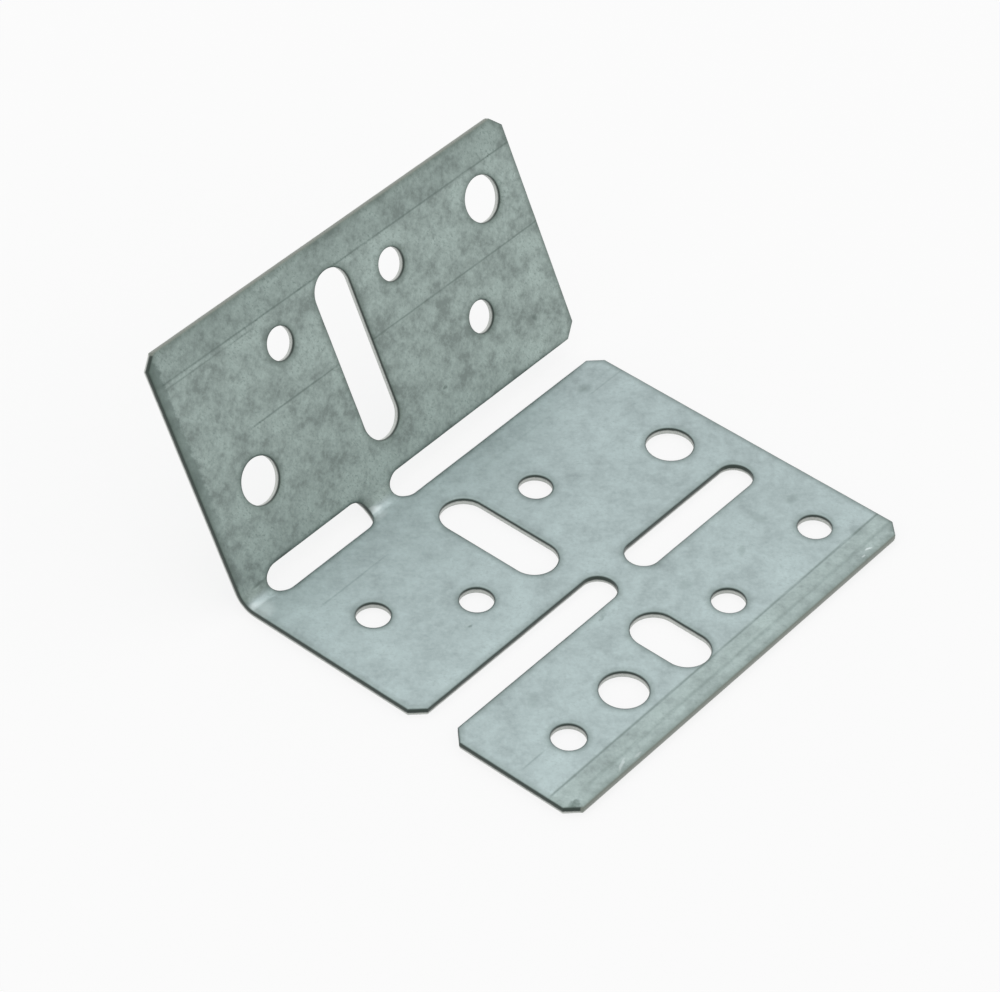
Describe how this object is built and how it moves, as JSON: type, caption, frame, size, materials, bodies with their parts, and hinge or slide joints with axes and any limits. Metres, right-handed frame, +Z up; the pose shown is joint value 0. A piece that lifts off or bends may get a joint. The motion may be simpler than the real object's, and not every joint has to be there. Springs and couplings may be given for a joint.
{
  "type": "corner brace bracket",
  "caption": "Folded steel sheet bracket with a flat base, an upright leaning back, round screw and bolt holes, bolt slots and bend slits.",
  "frame": {"origin": "on the underside of the base, on the centreline of the bolt slots, half-way from the fold line to the outer edge", "axes": "+X along the fold, +Y across the base from its outer edge to the fold, +Z up from the surface that the base rests on"},
  "size_m": [0.075, 0.0792, 0.0368],
  "materials": {
    "galvanised_steel": "dull galvanised sheet"
  },
  "bodies": {
    "root": {"bracket": "galvanised_steel"}
  },
  "joints": []
}
